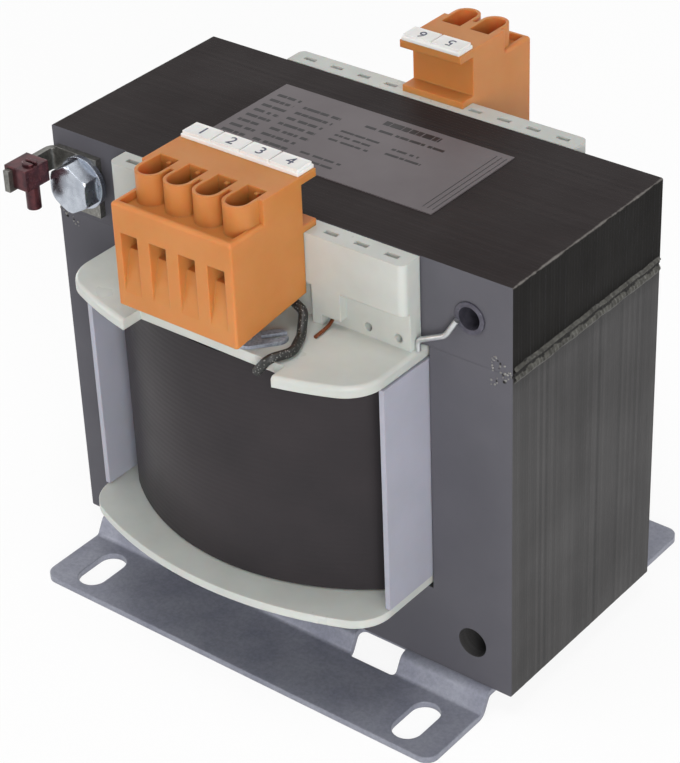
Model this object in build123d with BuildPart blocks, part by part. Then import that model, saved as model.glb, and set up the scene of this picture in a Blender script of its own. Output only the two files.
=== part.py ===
from build123d import *
import os

# Open-frame control transformer on welded E and I laminations, in millimetres.
# X runs along the core, -Y faces the primary terminals, +Z points up.
# The origin is on the ground under the middle of the core, at the soles of the feet.

# Laminations
CENTRE_LEG = 40.0
OUTER_LEG = 20.0
WINDOW_W = 20.0
WINDOW_H = 60.0
YOKE_H = 20.0
BAR_H = 20.0
STACK = 53.0
HOLE_D = 7.0
HOLE_INSET = 10.0

# Welds across the joint between the E and I stacks
WELD_W = 4.2
WELD_H = 0.9
WELD_END = 0.5

# Folded feet
SHEET = 1.5
FOOT_RISE = 4.4
FOOT_L = 110.0
FOOT_REACH = 22.3
FOOT_LAP = 12.0
WEB_TOP_OUT = 1.4
WEB_BASE_OUT = 3.7
BEND_R = 1.8
FOOT_CORNER_R = 3.0
SLOT_W = 7.0
SLOT_L = 13.0
SLOT_PITCH_X = 90.0
SLOT_PITCH_Y = 80.0
RELIEF_X = 26.2
RELIEF_W = 12.5
RELIEF_OUT = 4.8
RELIEF_IN = 1.0
RELIEF_R = 1.2

# Bobbin
BOBBIN_GAP = 0.2
TUBE_WALL = 1.3
FLANGE_T = 2.5
FLANGE_X = 39.3
FLANGE_SIDE_Y = 46.1
FLANGE_CROWN_Y = 55.4
FLANGE_R = 9.0
FLANGE_EDGE_R = 0.9
NEAR = 0.01
TOWER_GAP = 0.3
TOWER_X = 38.3
TOWER_T = 5.4
TOWER_SLAB_H = 11.5
TOWER_STEP = 2.0
TOWER_CORNER_R = 1.6
POCKET_W = 3.2
POCKET_D = 1.2
POCKET_H = 1.2
PIN_HOLE_D = 1.9
GUIDE_W = 7.2
GUIDE_X = 18.8
GUIDE_WALL = 1.2
GUIDE_EXIT_H = 2.4
PIN_HOLE_Z = 2.2
PIN_HOLE_DEPTH = 2.0
SPARE_PINS = (-35.3, -27.8, 27.8, 35.3)
SEAT_Y = 48.4
LEAD_ROOM = 7.0

# Windings, insulation and wrap, each as room left in the window, side depth and crown depth
PRIMARY_ROOM = 11.0
PRIMARY_SIDE_Y = 33.0
PRIMARY_CROWN_Y = 37.5
INSULATION_T = 0.6
SECONDARY_ROOM = 3.3
SECONDARY_SIDE_Y = 32.6
SECONDARY_CROWN_Y = 47.6
COIL_R = 9.5
PRIMARY_R = 5.0
WRAP_T = 0.7
LAYER_GAP = 0.05
COIL_END_GAP = 0.4

# Window liners beside the coil
LINER_T = 1.2
LINER_GAP = 0.3
LINER_Y = 41.0

# Terminal blocks
POLE_PITCH = 7.5
END_WALL = 0.5
FRONT_POLES = 4
REAR_POLES = 2
FRONT_X = -1.35
REAR_X = 0.65
BLOCK_GAP = 0.3
BLOCK_D = 21.6
BLOCK_LIFT = 4.2
BLOCK_BASE_RISE = 2.4
LEDGE_H = 21.6
LEDGE_D = 4.6
ROOF_H = 28.4
RIM_H = 1.7
RIM_T = 1.2
RIM_R = 0.8
CHEEK_T = 1.3
LIP_REACH = 4.6
LIP_T = 1.7
HOOK_REACH = 4.0
HOOK_T = 1.5
CHIMNEY_R = 3.2
VALLEY_D = 2.2
HOUSING_EDGE_R = 0.5
WELL_R = 2.5
WELL_L = 5.8
WELL_RIB_W = 0.9
WELL_RIB_T = 0.8
WELL_RIB_DROP = 1.0
CAGE_BACK = 0.5
FUNNEL_W = 4.4
FUNNEL_H = 13.5
FUNNEL_TOP = 4.7
FUNNEL_D = 2.3
THROAT_W = 4.3
THROAT_H = 4.5
CAGE_W = 5.6
CAGE_D = 6.2
CAGE_H = 8.2
CAGE_WALL = 0.8
CAGE_ROOF = 1.6
CAGE_GAP = 0.15
SCREW_D = 3.0
SCREW_HEAD_D = 4.0
SCREW_HEAD_H = 1.8
SCREW_SLOT_W = 0.7
SCREW_TURN = 30.0
PIN_W = 1.0
MARKER_W = 5.0
MARKER_T = 1.5
MARKER_INSET = 0.4

# Blank rating label
LABEL_W = 60.5
LABEL_D = 29.0
LABEL_T = 0.25
LABEL_X = 0.2
LABEL_Y = 2.0

# Earth terminal at the upper left hole
BOLT_D = 6.0
HEX_AF = 10.0
HEX_TURN = 30.0
BOLT_GAP = 0.2
BOLT_SPARE = 1.5
BOLT_HEAD_H = 4.2
NUT_H = 5.0
WASHER_D = 12.0
WASHER_T = 1.2
PLATE_T = 1.5
PLATE_W = 14.2
PLATE_H = 14.0
PLATE_RISE = 5.9
PLATE_PROUD = 0.5
PLATE_CUT_X = 4.2
PLATE_CUT_Z = 3.2
PLATE_BEND_R = 1.6
ARM_L = 13.5
ARM_H = 5.0
ARM_DROP = 0.6
CLAMP_CHEEK = 0.7
CLAMP_BLOCK = 4.0
CLAMP_CAP = 0.6
CLAMP_Y = 6.8
CLAMP_Z = 4.8
CLAMP_SET = 5.5
CLAMP_GAP = 0.05
CLAMP_SCREW_D = 3.2
CLAMP_SCREW_DROP = 5.6
CLAMP_HEAD_H = 0.5
CLAMP_HEAD_SLOT = 0.8

# Screen wire and its eyelet at the upper right hole
EYELET_WALL = 1.0
EYELET_L = 7.0
EYELET_RIM = 0.4
WIRE_D = 1.2
WIRE_RISE = 2.4
WIRE_MID_X = 6.2
WIRE_MID_Z = 5.2
WIRE_BENDS = [1.5, 3.0]

# Sleeved lead beside the primary block, from under its corner to the notch in the flange
SLEEVE_D = 2.0
LEAD_ROUTE = [
    (-1.6, -2.0, 5.1),
    (2.0, -2.9, 4.2),
    (4.2, -6.6, 1.1),
    (6.6, -12.2, 1.1),
    (4.6, -17.4, 1.4),
    (1.6, -17.6, -2.5),
]
LEAD_BENDS = [2.4, 3.2, 4.0, 2.0]

# Forked solder tag on the pin of the fourth pole
TAG_W = 5.0
TAG_L = 10.5
TAG_T = 0.8
TAG_TURN = 50.0
TAG_SLOT_W = 1.6
TAG_SLOT_L = 5.5

# Levels and half sizes that follow from the sizes above
CORE_W = CENTRE_LEG + 2 * WINDOW_W + 2 * OUTER_LEG
CORE_X = CORE_W / 2
CORE_Y = STACK / 2
CORE_Z = SHEET + FOOT_RISE
WINDOW_Z = CORE_Z + YOKE_H
JOINT_Z = WINDOW_Z + WINDOW_H
CORE_TOP = JOINT_Z + BAR_H
WINDOW_X = (CENTRE_LEG + WINDOW_W) / 2
HOLE_X = CORE_X - HOLE_INSET
HOLE_LOW_Z = CORE_Z + HOLE_INSET
HOLE_HIGH_Z = CORE_TOP - HOLE_INSET
PRIMARY_X = CENTRE_LEG / 2 + WINDOW_W - PRIMARY_ROOM
SECONDARY_X = CENTRE_LEG / 2 + WINDOW_W - SECONDARY_ROOM
TUBE_IN_X = CENTRE_LEG / 2 + BOBBIN_GAP
TUBE_IN_Y = CORE_Y + BOBBIN_GAP
TUBE_X = TUBE_IN_X + TUBE_WALL
TUBE_Y = TUBE_IN_Y + TUBE_WALL
BOBBIN_Z = WINDOW_Z + BOBBIN_GAP
COIL_Z = BOBBIN_Z + FLANGE_T
FLANGE_TOP_Z = JOINT_Z - BOBBIN_GAP
COIL_TOP_Z = FLANGE_TOP_Z - FLANGE_T
COIL_BASE_Z = COIL_Z + COIL_END_GAP
COIL_H = COIL_TOP_Z - COIL_Z - 2 * COIL_END_GAP
TOWER_Y = CORE_Y + TOWER_GAP + TOWER_T
BLOCK_Z = FLANGE_TOP_Z + BLOCK_LIFT
BLOCK_BACK_Y = TOWER_Y + BLOCK_GAP
LINER_X = CORE_X - OUTER_LEG - LINER_GAP

os.makedirs("parts", exist_ok=True)


def save(builder, name):
    """Label a finished piece and write its STEP file."""
    builder.part.label = name
    export_step(builder.part, f"parts/{name}.step")


def bowed_outline(half_width, side_y, crown_y, corner_r):
    """Return a plan outline whose front and back bow outwards between straight sides."""
    with BuildSketch(mode=Mode.PRIVATE) as outline:
        with BuildLine():
            front = ThreePointArc((-half_width, -side_y), (0, -crown_y), (half_width, -side_y))
            right = Line(front @ 1, (half_width, side_y))
            back = ThreePointArc(right @ 1, (0, crown_y), (-half_width, side_y))
            Line(back @ 1, front @ 0)
        make_face()
        fillet(outline.vertices(), corner_r)
    return outline.sketch


def row_places(count):
    """Return the offsets of a row of poles about its middle."""
    return [(i - (count - 1) / 2) * POLE_PITCH for i in range(count)]


# E stack: yoke and three legs in one pack of laminations
E_H = YOKE_H + WINDOW_H
with BuildPart() as e_core_stack:
    with BuildSketch(Plane.XZ):
        with Locations((0, CORE_Z + E_H / 2)):
            Rectangle(CORE_W, E_H)
        with Locations((-WINDOW_X, WINDOW_Z + WINDOW_H / 2), (WINDOW_X, WINDOW_Z + WINDOW_H / 2)):
            Rectangle(WINDOW_W, WINDOW_H, mode=Mode.SUBTRACT)
        with Locations((-HOLE_X, HOLE_LOW_Z), (HOLE_X, HOLE_LOW_Z)):
            Circle(HOLE_D / 2, mode=Mode.SUBTRACT)
    extrude(amount=STACK / 2, both=True)
save(e_core_stack, "e_core_stack")

# I stack: the bar that closes the windows
with BuildPart() as i_core_stack:
    with BuildSketch(Plane.XZ):
        with Locations((0, JOINT_Z + BAR_H / 2)):
            Rectangle(CORE_W, BAR_H)
        with Locations((-HOLE_X, HOLE_HIGH_Z), (HOLE_X, HOLE_HIGH_Z)):
            Circle(HOLE_D / 2, mode=Mode.SUBTRACT)
    extrude(amount=STACK / 2, both=True)
save(i_core_stack, "i_core_stack")


# Weld beads: a crowned bead across the stack on each side of the core
for side, name in ((-1, "weld_bead_left"), (1, "weld_bead_right")):
    with BuildPart() as weld_bead:
        with BuildSketch(Plane.XZ):
            with BuildLine():
                crown = ThreePointArc(
                    (side * CORE_X, JOINT_Z - WELD_W / 2),
                    (side * (CORE_X + WELD_H), JOINT_Z),
                    (side * CORE_X, JOINT_Z + WELD_W / 2),
                )
                Line(crown @ 1, crown @ 0)
            make_face()
        extrude(amount=CORE_Y - WELD_END, both=True)
    save(weld_bead, name)


# Feet: one Z-folded bracket under each face of the core
for side, name in ((-1, "foot_bracket_front"), (1, "foot_bracket_rear")):
    with BuildPart() as foot_bracket:
        with BuildSketch(Plane.YZ):
            with BuildLine():
                FilletPolyline(
                    (side * (CORE_Y + FOOT_REACH), SHEET / 2),
                    (side * (CORE_Y + WEB_BASE_OUT), SHEET / 2),
                    (side * (CORE_Y + WEB_TOP_OUT), CORE_Z - SHEET / 2),
                    (side * (CORE_Y - FOOT_LAP), CORE_Z - SHEET / 2),
                    radius=BEND_R,
                )
            trace(line_width=SHEET)
        extrude(amount=FOOT_L / 2, both=True)
        outer_corners = foot_bracket.edges().filter_by(Axis.Z).group_by(SortBy.DISTANCE)[-1]
        fillet(outer_corners, FOOT_CORNER_R)
        with BuildSketch(Plane.XY):
            slot_y = side * SLOT_PITCH_Y / 2
            with Locations((-SLOT_PITCH_X / 2, slot_y), (SLOT_PITCH_X / 2, slot_y)):
                SlotOverall(SLOT_L, SLOT_W, rotation=90)
        extrude(amount=SHEET, mode=Mode.SUBTRACT)
        with BuildSketch(Plane.XY):
            relief_y = side * (CORE_Y + (RELIEF_OUT - RELIEF_IN) / 2)
            with Locations((-RELIEF_X, relief_y), (RELIEF_X, relief_y)):
                RectangleRounded(RELIEF_W, RELIEF_OUT + RELIEF_IN, RELIEF_R)
        extrude(amount=CORE_Z, mode=Mode.SUBTRACT)
    save(foot_bracket, name)


def block_span(x, poles):
    """Return the left and right ends of a terminal block."""
    half = (poles * POLE_PITCH) / 2 + END_WALL
    return x - half, x + half


# Bobbin: tube, two bowed flanges and a terminal tower at each end, moulded in one
flange = bowed_outline(FLANGE_X, FLANGE_SIDE_Y, FLANGE_CROWN_Y, FLANGE_R)
with BuildPart() as coil_bobbin:
    with BuildSketch(Plane.XY.offset(BOBBIN_Z)):
        Rectangle(2 * TUBE_X, 2 * TUBE_Y)
        Rectangle(2 * TUBE_IN_X, 2 * TUBE_IN_Y, mode=Mode.SUBTRACT)
    extrude(amount=FLANGE_TOP_Z - BOBBIN_Z)
    for level in (BOBBIN_Z, COIL_TOP_Z):
        with BuildSketch(Plane.XY.offset(level)):
            add(flange)
            Rectangle(2 * TUBE_IN_X, 2 * TUBE_IN_Y, mode=Mode.SUBTRACT)
        extrude(amount=FLANGE_T)
    outer_rims = coil_bobbin.edges().filter_by(GeomType.CIRCLE).filter_by(
        lambda edge: min(abs(edge.center().Z - BOBBIN_Z), abs(edge.center().Z - FLANGE_TOP_Z)) < NEAR
    )
    fillet(outer_rims, FLANGE_EDGE_R)
    for side in (-1, 1):
        with BuildSketch(Plane.YZ):
            with BuildLine():
                Polyline(
                    (side * (CORE_Y + TOWER_GAP), FLANGE_TOP_Z - FLANGE_T / 2),
                    (side * (TOWER_Y - TOWER_STEP), FLANGE_TOP_Z - FLANGE_T / 2),
                    (side * (TOWER_Y - TOWER_STEP), CORE_TOP - TOWER_SLAB_H),
                    (side * TOWER_Y, CORE_TOP - TOWER_SLAB_H),
                    (side * TOWER_Y, CORE_TOP),
                    (side * (CORE_Y + TOWER_GAP), CORE_TOP),
                    close=True,
                )
            make_face()
        extrude(amount=TOWER_X, both=True)
    slab_corners = coil_bobbin.edges().filter_by(Axis.Z).filter_by(
        lambda edge: abs(abs(edge.center().Y) - TOWER_Y) < NEAR
    )
    fillet(slab_corners, TOWER_CORNER_R)
    # Latch pockets along the top of each tower
    pocket_count = int(2 * TOWER_X / POLE_PITCH)
    for side in (-1, 1):
        with BuildSketch(Plane.XY.offset(CORE_TOP)):
            with Locations(*[(x, side * (TOWER_Y - TOWER_T / 2)) for x in row_places(pocket_count)]):
                Rectangle(POCKET_W, POCKET_D)
        extrude(amount=-POCKET_H, mode=Mode.SUBTRACT)
    # Lead guide in front of the recess, with its wire exit
    with BuildSketch(Plane.XY.offset(FLANGE_TOP_Z - FLANGE_T / 2)):
        with Locations((GUIDE_X, -(TOWER_Y - TOWER_STEP / 2))):
            Rectangle(GUIDE_W, TOWER_STEP)
    extrude(amount=CORE_TOP - TOWER_SLAB_H - FLANGE_TOP_Z + FLANGE_T / 2)
    with BuildSketch(Plane.XZ.offset(TOWER_Y - TOWER_STEP)):
        with Locations((GUIDE_X + GUIDE_WALL, FLANGE_TOP_Z + GUIDE_EXIT_H / 2)):
            Rectangle(GUIDE_W - 2 * GUIDE_WALL, GUIDE_EXIT_H)
    extrude(amount=TOWER_STEP, mode=Mode.SUBTRACT)
    # Spare pin holes in the recess of each tower
    for side in (-1, 1):
        with BuildSketch(Plane.XZ.offset(-side * (TOWER_Y - TOWER_STEP))):
            with Locations(*[(x, FLANGE_TOP_Z + PIN_HOLE_Z) for x in SPARE_PINS]):
                Circle(PIN_HOLE_D / 2)
        extrude(amount=side * PIN_HOLE_DEPTH, mode=Mode.SUBTRACT)
    # Seats cut into the top flange under the blocks
    for side, x, poles in ((-1, FRONT_X, FRONT_POLES), (1, REAR_X, REAR_POLES)):
        left, right = block_span(x, poles)
        with BuildSketch(Plane.XY.offset(FLANGE_TOP_Z)):
            with Locations(((left + right + LEAD_ROOM) / 2, side * FLANGE_CROWN_Y)):
                Rectangle(right - left + LEAD_ROOM, 2 * (FLANGE_CROWN_Y - SEAT_Y))
        extrude(amount=-FLANGE_T, mode=Mode.SUBTRACT)
save(coil_bobbin, "coil_bobbin")


def ring(name, outer, inner):
    """Build one layer of the coil between two plan outlines."""
    with BuildPart() as layer:
        with BuildSketch(Plane.XY.offset(COIL_BASE_Z)):
            add(outer)
            add(inner, mode=Mode.SUBTRACT)
        extrude(amount=COIL_H)
    save(layer, name)


def grown(size):
    """Return the secondary's outline grown by a size, for the wrap around it."""
    return bowed_outline(
        SECONDARY_X + size, SECONDARY_SIDE_Y + size, SECONDARY_CROWN_Y + size, COIL_R + size
    )


def primary_grown(size):
    """Return the primary's outline grown by a size, for the insulation around it."""
    return bowed_outline(
        PRIMARY_X + size, PRIMARY_SIDE_Y + size, PRIMARY_CROWN_Y + size, PRIMARY_R + size
    )


with BuildSketch(mode=Mode.PRIVATE) as tube_outline:
    Rectangle(2 * (TUBE_X + LAYER_GAP), 2 * (TUBE_Y + LAYER_GAP))

# Coil: primary, insulation, secondary and the dark wrap, from the tube outwards
ring("primary_winding", primary_grown(0), tube_outline.sketch)
ring("interwinding_insulation", primary_grown(LAYER_GAP + INSULATION_T), primary_grown(LAYER_GAP))
ring("secondary_winding", grown(0), primary_grown(2 * LAYER_GAP + INSULATION_T))
ring("outer_wrap", grown(LAYER_GAP + WRAP_T), grown(LAYER_GAP))


# Window liners: stiff insulating sheets between the coil and the outer legs
for side, name in ((-1, "window_liner_left"), (1, "window_liner_right")):
    with BuildPart() as liner:
        with BuildSketch(Plane.XY.offset(COIL_BASE_Z)):
            with Locations((side * (LINER_X - LINER_T / 2), 0)):
                Rectangle(LINER_T, 2 * LINER_Y)
        extrude(amount=COIL_H)
    save(liner, name)


# Terminal blocks: out is the distance from the wall against the tower to the wire face
CHIMNEY_OUT = BLOCK_D - LEDGE_D - CHIMNEY_R
VALLEY_OUT = CHIMNEY_OUT - VALLEY_D
FACE_Y = BLOCK_BACK_Y + BLOCK_D
CAGE_Y = BLOCK_BACK_Y + CHIMNEY_OUT - CAGE_BACK
LEDGE_Z = BLOCK_Z + LEDGE_H
ROOF_Z = BLOCK_Z + ROOF_H
HOOK_Z = CORE_TOP
THROAT_Z = LEDGE_Z - FUNNEL_TOP - THROAT_H / 2
CAGE_Z = THROAT_Z - (CAGE_H + CAGE_WALL - CAGE_ROOF) / 2
WELL_Z = CAGE_Z + CAGE_H + CAGE_GAP


def profile_plane(x, side):
    """Return the upright plane through a block, drawn from the wall outwards."""
    return Plane(origin=(x, side * BLOCK_BACK_Y, 0), x_dir=(0, side, 0), z_dir=(side, 0, 0))


def face_plane(x, side):
    """Return the plane of a block's wire face, with its normal pointing out."""
    return Plane(origin=(x, side * FACE_Y, 0), x_dir=(-side, 0, 0), z_dir=(0, side, 0))


def terminal_housing(name, x, poles, side):
    """Build a moulded housing with a chimney, a wire funnel and a clamp chamber at each pole."""
    length = poles * POLE_PITCH + 2 * END_WALL
    offsets = row_places(poles)
    chimneys = [(x + dx, side * (BLOCK_BACK_Y + CHIMNEY_OUT)) for dx in offsets]
    cages = [(x + dx, side * CAGE_Y) for dx in offsets]
    rim_z = LEDGE_Z + RIM_H
    with BuildPart() as housing:
        # Body up to the rim, with the base rising towards the tower and the hook on top of it
        with BuildSketch(profile_plane(x, side)):
            with BuildLine():
                Polyline(
                    (0, BLOCK_Z + BLOCK_BASE_RISE),
                    (BLOCK_D, BLOCK_Z),
                    (BLOCK_D, rim_z),
                    (0, rim_z),
                    close=True,
                )
            make_face()
            with Locations((-HOOK_REACH / 2, HOOK_Z + HOOK_T / 2)):
                Rectangle(HOOK_REACH, HOOK_T)
        extrude(amount=length / 2, both=True)
        front_edges = housing.edges().filter_by(Axis.Z).filter_by(
            lambda edge: abs(abs(edge.center().Y) - FACE_Y) < NEAR
        )
        fillet(front_edges, HOUSING_EDGE_R)
        rim_edge = housing.edges().filter_by(Axis.X).filter_by(
            lambda edge: abs(abs(edge.center().Y) - FACE_Y) < NEAR and abs(edge.center().Z - rim_z) < NEAR
        )
        fillet(rim_edge, RIM_R)
        # Trough behind the rim, between the end cheeks
        with BuildSketch(Plane.XY.offset(LEDGE_Z)):
            with Locations((x, side * (FACE_Y - RIM_T - (BLOCK_D - RIM_T) / 2))):
                Rectangle(length - 2 * CHEEK_T, BLOCK_D - RIM_T)
        extrude(amount=RIM_H, mode=Mode.SUBTRACT)
        # Roof with one half-round chimney at each pole and the marker lip behind
        with BuildSketch(Plane.XY.offset(LEDGE_Z)):
            with Locations((x, side * (BLOCK_BACK_Y + VALLEY_OUT / 2))):
                Rectangle(length, VALLEY_OUT)
            with Locations(*chimneys):
                Circle(CHIMNEY_R)
                with Locations((0, -side * VALLEY_D / 2)):
                    Rectangle(2 * CHIMNEY_R, VALLEY_D)
        extrude(amount=ROOF_Z - LEDGE_Z)
        with BuildSketch(profile_plane(x, side)):
            with Locations((-LIP_REACH / 2, ROOF_Z - LIP_T / 2)):
                Rectangle(LIP_REACH, LIP_T)
        extrude(amount=length / 2, both=True)
        # Screw wells behind the chimney fronts, each with a rib down its back wall
        with BuildSketch(Plane.XY.offset(WELL_Z)):
            with Locations(*chimneys):
                Circle(WELL_R)
                with Locations((0, -side * WELL_L / 2)):
                    Rectangle(2 * WELL_R, WELL_L)
                with Locations((0, -side * (WELL_L - WELL_RIB_T / 2))):
                    Rectangle(WELL_RIB_W, WELL_RIB_T, mode=Mode.SUBTRACT)
        extrude(amount=ROOF_Z - WELL_Z, mode=Mode.SUBTRACT)
        with BuildSketch(Plane.XY.offset(ROOF_Z - WELL_RIB_DROP)):
            with Locations(*[(px, py - side * (WELL_L - WELL_RIB_T / 2)) for px, py in chimneys]):
                Rectangle(WELL_RIB_W, WELL_RIB_T)
        extrude(amount=WELL_RIB_DROP, mode=Mode.SUBTRACT)
        # Clamp chambers, pin slots open below, and wire funnels
        with BuildSketch(Plane.XY.offset(CAGE_Z - CAGE_GAP)):
            with Locations(*cages):
                Rectangle(CAGE_W + 2 * CAGE_GAP, CAGE_D + 2 * CAGE_GAP)
        extrude(amount=CAGE_H + 2 * CAGE_GAP, mode=Mode.SUBTRACT)
        with BuildSketch(Plane.XY.offset(CAGE_Z)):
            with Locations(*cages):
                Rectangle(PIN_W + 2 * CAGE_GAP, PIN_W + 2 * CAGE_GAP)
        extrude(amount=-BLOCK_LIFT - LEDGE_H, mode=Mode.SUBTRACT)
        face = face_plane(x, side)
        mouth_z = LEDGE_Z - FUNNEL_TOP - FUNNEL_H / 2
        for dx in offsets:
            with BuildSketch(face):
                with Locations((dx, mouth_z)):
                    Rectangle(FUNNEL_W, FUNNEL_H)
            with BuildSketch(face.offset(-FUNNEL_D)):
                with Locations((dx, THROAT_Z)):
                    Rectangle(THROAT_W, THROAT_H)
            loft(mode=Mode.SUBTRACT)
        with BuildSketch(face.offset(-FUNNEL_D)):
            with Locations(*[(dx, THROAT_Z) for dx in offsets]):
                Rectangle(THROAT_W, THROAT_H)
        extrude(amount=-(FACE_Y - FUNNEL_D - CAGE_Y), mode=Mode.SUBTRACT)
    save(housing, name)


def clamp_cages(name, x, poles, side):
    """Build the box clamps that hold the wires, one in each chamber."""
    inner_h = CAGE_H - CAGE_WALL - CAGE_ROOF
    with BuildPart() as cages:
        for dx in row_places(poles):
            with BuildSketch(Plane.XY.offset(CAGE_Z)):
                with Locations((x + dx, side * CAGE_Y)):
                    Rectangle(CAGE_W, CAGE_D)
            extrude(amount=CAGE_H)
        with BuildSketch(face_plane(x, side)):
            with Locations(*[(dx, CAGE_Z + CAGE_WALL + inner_h / 2) for dx in row_places(poles)]):
                RectangleRounded(CAGE_W - 2 * CAGE_WALL, inner_h, CAGE_WALL / 2)
        extrude(amount=-BLOCK_D, mode=Mode.SUBTRACT)
        with BuildSketch(Plane.XY.offset(CAGE_Z + CAGE_H)):
            with Locations(*[(x + dx, side * CAGE_Y) for dx in row_places(poles)]):
                Circle(SCREW_D / 2 + CAGE_GAP / 2)
        extrude(amount=-CAGE_ROOF, mode=Mode.SUBTRACT)
    save(cages, name)


def clamp_screws(name, x, poles, side):
    """Build the slotted clamp screws at the bottom of the chimneys."""
    with BuildPart() as screws:
        places = [(x + dx, side * CAGE_Y) for dx in row_places(poles)]
        with BuildSketch(Plane.XY.offset(WELL_Z)):
            with Locations(*places):
                Circle(SCREW_HEAD_D / 2)
        extrude(amount=SCREW_HEAD_H)
        with BuildSketch(Plane.XY.offset(WELL_Z)):
            with Locations(*places):
                Circle(SCREW_D / 2)
        extrude(amount=-CAGE_H / 2)
        with BuildSketch(Plane.XY.offset(WELL_Z + SCREW_HEAD_H)):
            with Locations(*places):
                Rectangle(SCREW_HEAD_D, SCREW_SLOT_W, rotation=SCREW_TURN)
        extrude(amount=-SCREW_HEAD_H / 2, mode=Mode.SUBTRACT)
    save(screws, name)


def terminal_pins(name, x, poles, side):
    """Build the pins that run from the clamps down to the bobbin's flange."""
    with BuildPart() as pins:
        with BuildSketch(Plane.XY.offset(CAGE_Z)):
            with Locations(*[(x + dx, side * CAGE_Y) for dx in row_places(poles)]):
                Rectangle(PIN_W, PIN_W)
        extrude(amount=-(CAGE_Z - FLANGE_TOP_Z))
    save(pins, name)


def marker_strip(name, x, poles, side):
    """Build the white marker strip along the back of a block's roof."""
    with BuildPart() as marker:
        length = poles * POLE_PITCH + 2 * END_WALL - 2 * MARKER_INSET
        with BuildSketch(Plane.XY.offset(ROOF_Z)):
            with Locations((x, side * (BLOCK_BACK_Y - LIP_REACH + MARKER_W / 2))):
                Rectangle(length, MARKER_W)
        extrude(amount=MARKER_T)
        chamfer(marker.faces().sort_by(Axis.Z)[-1].edges(), MARKER_INSET / 2)
    save(marker, name)


for place, x, poles, side in (("front", FRONT_X, FRONT_POLES, -1), ("rear", REAR_X, REAR_POLES, 1)):
    terminal_housing(f"{place}_terminal_housing", x, poles, side)
    clamp_cages(f"{place}_clamp_cages", x, poles, side)
    clamp_screws(f"{place}_clamp_screws", x, poles, side)
    terminal_pins(f"{place}_terminal_pins", x, poles, side)
    marker_strip(f"{place}_marker_strip", x, poles, side)


# Rating label: a thin blank plate on top of the core
with BuildPart() as rating_label:
    with BuildSketch(Plane.XY.offset(CORE_TOP)):
        with Locations((LABEL_X, LABEL_Y)):
            Rectangle(LABEL_W, LABEL_D)
    extrude(amount=LABEL_T)
save(rating_label, "rating_label")


# Earth terminal: a through bolt carries a folded plate, and a clamp straddles the plate's arm
PLATE_Y = CORE_Y + PLATE_T
PLATE_LEFT = -(CORE_X + PLATE_PROUD)
PLATE_TOP_Z = HOLE_HIGH_Z + PLATE_RISE
PLATE_LOW_Z = PLATE_TOP_Z - PLATE_H
PLATE_EDGE_X = PLATE_LEFT + PLATE_BEND_R + PLATE_T / 2
ARM_TOP_Z = PLATE_TOP_Z - ARM_DROP
ARM_LOW_Z = ARM_TOP_Z - ARM_H
with BuildPart() as earth_plate:
    with BuildSketch(Plane.XY.offset(PLATE_TOP_Z)):
        with BuildLine():
            FilletPolyline(
                (PLATE_LEFT + PLATE_W, -CORE_Y - PLATE_T / 2),
                (PLATE_LEFT + PLATE_T / 2, -CORE_Y - PLATE_T / 2),
                (PLATE_LEFT + PLATE_T / 2, -PLATE_Y - ARM_L),
                radius=PLATE_BEND_R,
            )
        trace(line_width=PLATE_T)
    extrude(amount=-PLATE_H)
    with BuildSketch(Plane.XZ.offset(CORE_Y)):
        with BuildLine():
            Polyline(
                (PLATE_LEFT, PLATE_LOW_Z),
                (PLATE_EDGE_X + PLATE_CUT_X, PLATE_LOW_Z),
                (PLATE_EDGE_X, PLATE_LOW_Z + PLATE_CUT_Z),
                (PLATE_EDGE_X, ARM_LOW_Z),
                (PLATE_LEFT, ARM_LOW_Z),
                close=True,
            )
        make_face()
        with Locations((PLATE_LEFT + (PLATE_EDGE_X - PLATE_LEFT) / 2, PLATE_TOP_Z - ARM_DROP / 2)):
            Rectangle(PLATE_EDGE_X - PLATE_LEFT, ARM_DROP)
        with Locations((-HOLE_X, HOLE_HIGH_Z)):
            Circle(BOLT_D / 2 + BOLT_GAP)
    extrude(amount=PLATE_T + ARM_L, mode=Mode.SUBTRACT)
save(earth_plate, "earth_plate")

with BuildPart() as earth_washer:
    with BuildSketch(Plane.XZ.offset(PLATE_Y)):
        with Locations((-HOLE_X, HOLE_HIGH_Z)):
            Circle(WASHER_D / 2)
            Circle(BOLT_D / 2 + BOLT_GAP, mode=Mode.SUBTRACT)
    extrude(amount=WASHER_T)
save(earth_washer, "earth_washer")

with BuildPart() as earth_bolt:
    with BuildSketch(Plane.XZ.offset(PLATE_Y + WASHER_T)):
        with Locations((-HOLE_X, HOLE_HIGH_Z)):
            RegularPolygon(HEX_AF / 2, 6, major_radius=False, rotation=HEX_TURN)
    extrude(amount=BOLT_HEAD_H)
    with BuildSketch(Plane.XZ.offset(PLATE_Y + WASHER_T)):
        with Locations((-HOLE_X, HOLE_HIGH_Z)):
            Circle(BOLT_D / 2)
    extrude(amount=-(PLATE_Y + WASHER_T + CORE_Y + NUT_H + BOLT_SPARE))
save(earth_bolt, "earth_bolt")

with BuildPart() as earth_nut:
    with BuildSketch(Plane.XZ.offset(-CORE_Y)):
        with Locations((-HOLE_X, HOLE_HIGH_Z)):
            RegularPolygon(HEX_AF / 2, 6, major_radius=False, rotation=HEX_TURN)
            Circle(BOLT_D / 2, mode=Mode.SUBTRACT)
    extrude(amount=-NUT_H)
save(earth_nut, "earth_nut")

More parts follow.
